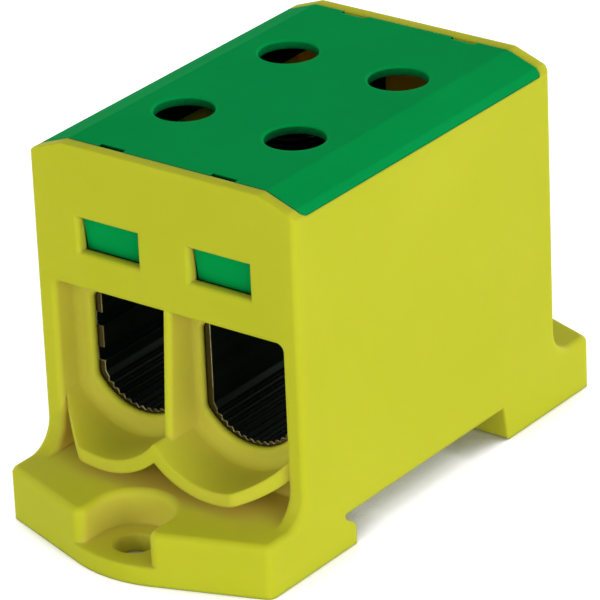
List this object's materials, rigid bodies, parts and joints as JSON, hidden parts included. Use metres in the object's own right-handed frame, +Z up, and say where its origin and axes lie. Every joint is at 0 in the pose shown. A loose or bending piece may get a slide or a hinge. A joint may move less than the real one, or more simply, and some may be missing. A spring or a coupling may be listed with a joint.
{
  "type": "power terminal block",
  "caption": "Power terminal block: moulded housing with scooped conductor entries, rail seat and screw feet, snap-in cover, extruded terminal bar and socket clamp screws.",
  "frame": {"origin": "middle of the base, on the mounting plane that the feet stand on", "axes": "+X across the poles, +Y along the conductors from the fixed rail hook towards the snap tongue, +Z up through the cover"},
  "size_m": [0.0422, 0.0846, 0.0514],
  "materials": {
    "housing_plastic": "satin moulded yellow-green plastic",
    "cover_plastic": "satin moulded green plastic",
    "bar_metal": "plain tinned extrusion",
    "screw_steel": "plated steel"
  },
  "bodies": {
    "block": {"housing": "housing_plastic", "cover": "cover_plastic", "terminal_bar": "bar_metal"},
    "screw_front_left": {"clamp_screw_front_left": "screw_steel"},
    "screw_front_right": {"clamp_screw_front_right": "screw_steel"},
    "screw_rear_left": {"clamp_screw_rear_left": "screw_steel"},
    "screw_rear_right": {"clamp_screw_rear_right": "screw_steel"}
  },
  "joints": [
    {"name": "clamp_front_left", "type": "slide", "parent": "block", "child": "screw_front_left", "axis": [0, 0, -1], "range_m": [-0.003, 0.0125]},
    {"name": "clamp_front_right", "type": "slide", "parent": "block", "child": "screw_front_right", "axis": [0, 0, -1], "range_m": [-0.003, 0.0125]},
    {"name": "clamp_rear_left", "type": "slide", "parent": "block", "child": "screw_rear_left", "axis": [0, 0, -1], "range_m": [-0.003, 0.0125]},
    {"name": "clamp_rear_right", "type": "slide", "parent": "block", "child": "screw_rear_right", "axis": [0, 0, -1], "range_m": [-0.003, 0.0125]}
  ]
}
